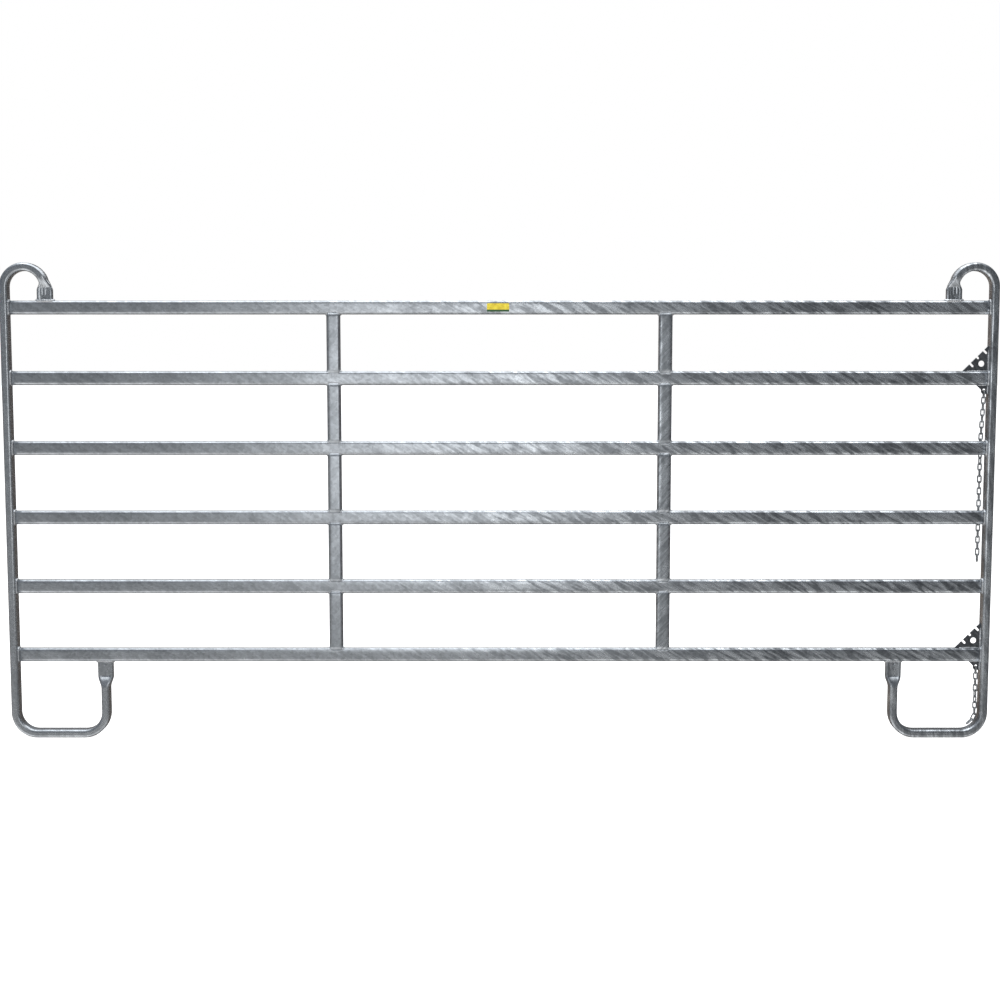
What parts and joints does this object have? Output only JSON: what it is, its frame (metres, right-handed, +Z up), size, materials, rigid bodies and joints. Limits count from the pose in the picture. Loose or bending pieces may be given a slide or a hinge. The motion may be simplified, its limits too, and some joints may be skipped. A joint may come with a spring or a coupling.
{
  "type": "livestock panel gate",
  "caption": "Free-standing cattle hurdle of galvanised tube: horizontal rails, looped feet, hooked upright tops, slotted lock plates and fastening chains.",
  "frame": {"origin": "on the ground, under the middle of the panel", "axes": "+X along the panel towards the end with the chains, +Y to the back, +Z up"},
  "size_m": [3.6, 0.0578, 1.7399],
  "materials": {
    "galvanised_steel": "hot-dip galvanised, mottled, semi-matt",
    "galvanised_plate": "hot-dip galvanised plate, semi-matt",
    "zinc_chain": "zinc-plated chain, dull",
    "label_yellow": "plain yellow label with a dark green lower band"
  },
  "bodies": {
    "panel": {"end_frame_left": "galvanised_steel", "end_frame_right": "galvanised_steel", "rail_1": "galvanised_steel", "rail_2": "galvanised_steel", "rail_3": "galvanised_steel", "rail_4": "galvanised_steel", "rail_5": "galvanised_steel", "rail_6": "galvanised_steel", "strut_left_1": "galvanised_steel", "strut_left_2": "galvanised_steel", "strut_left_3": "galvanised_steel", "strut_left_4": "galvanised_steel", "strut_left_5": "galvanised_steel", "strut_right_1": "galvanised_steel", "strut_right_2": "galvanised_steel", "strut_right_3": "galvanised_steel", "strut_right_4": "galvanised_steel", "strut_right_5": "galvanised_steel", "lock_plate_upper": "galvanised_plate", "lock_plate_lower": "galvanised_plate", "chain_lug_upper": "galvanised_plate", "chain_lug_lower": "galvanised_plate", "label_plate": "label_yellow"},
    "upper_chain_run_1": {"chain_upper_1": "zinc_chain"},
    "upper_chain_run_2": {"chain_upper_2": "zinc_chain"},
    "upper_chain_run_3": {"chain_upper_3": "zinc_chain"},
    "upper_chain_run_4": {"chain_upper_4": "zinc_chain"},
    "upper_chain_run_5": {"chain_upper_5": "zinc_chain"},
    "upper_chain_run_6": {"chain_upper_6": "zinc_chain"},
    "upper_chain_run_7": {"chain_upper_7": "zinc_chain"},
    "lower_chain_run_1": {"chain_lower_1": "zinc_chain"},
    "lower_chain_run_2": {"chain_lower_2": "zinc_chain"},
    "lower_chain_run_3": {"chain_lower_3": "zinc_chain"},
    "lower_chain_run_4": {"chain_lower_4": "zinc_chain"}
  },
  "joints": [
    {"name": "upper_chain_lug_swing", "type": "hinge", "parent": "panel", "child": "upper_chain_run_1", "pos_m": [1.757, 0, 1.2804], "axis": [0, 1, 0], "range_deg": [0, 75]},
    {"name": "upper_chain_bend_2", "type": "hinge", "parent": "upper_chain_run_1", "child": "upper_chain_run_2", "pos_m": [1.757, 0.01076, 1.1863], "axis": [1, 0, 0], "range_deg": [0, 60]},
    {"name": "upper_chain_bend_3", "type": "hinge", "parent": "upper_chain_run_2", "child": "upper_chain_run_3", "pos_m": [1.757, 0.02405, 1.09769], "axis": [1, 0, 0], "range_deg": [0, 60]},
    {"name": "upper_chain_bend_4", "type": "hinge", "parent": "upper_chain_run_3", "child": "upper_chain_run_4", "pos_m": [1.757, 0.02405, 1.00863], "axis": [0.766, 0.6428, 0], "range_deg": [0, 60]},
    {"name": "upper_chain_bend_5", "type": "hinge", "parent": "upper_chain_run_4", "child": "upper_chain_run_5", "pos_m": [1.757, 0.02405, 0.91956], "axis": [0.1736, 0.9848, 0], "range_deg": [0, 60]},
    {"name": "upper_chain_bend_6", "type": "hinge", "parent": "upper_chain_run_5", "child": "upper_chain_run_6", "pos_m": [1.757, 0.02405, 0.83539], "axis": [1, 0, 0], "range_deg": [0, 60]},
    {"name": "upper_chain_bend_7", "type": "hinge", "parent": "upper_chain_run_6", "child": "upper_chain_run_7", "pos_m": [1.757, 0.02405, 0.74049], "axis": [0, 1, 0], "range_deg": [0, 60]},
    {"name": "lower_chain_lug_swing", "type": "hinge", "parent": "panel", "child": "lower_chain_run_1", "pos_m": [1.757, 0, 0.2644], "axis": [0, 1, 0], "range_deg": [0, 70]},
    {"name": "lower_chain_bend_2", "type": "hinge", "parent": "lower_chain_run_1", "child": "lower_chain_run_2", "pos_m": [1.757, 0, 0.2143], "axis": [1, 0, 0], "range_deg": [-45, 45]},
    {"name": "lower_chain_bend_3", "type": "hinge", "parent": "lower_chain_run_2", "child": "lower_chain_run_3", "pos_m": [1.757, 0, 0.08277], "axis": [0, 1, 0], "range_deg": [0, 53]},
    {"name": "lower_chain_bend_4", "type": "hinge", "parent": "lower_chain_run_3", "child": "lower_chain_run_4", "pos_m": [1.75004, 0, 0.06715], "axis": [0, 1, 0], "range_deg": [0, 40]}
  ]
}
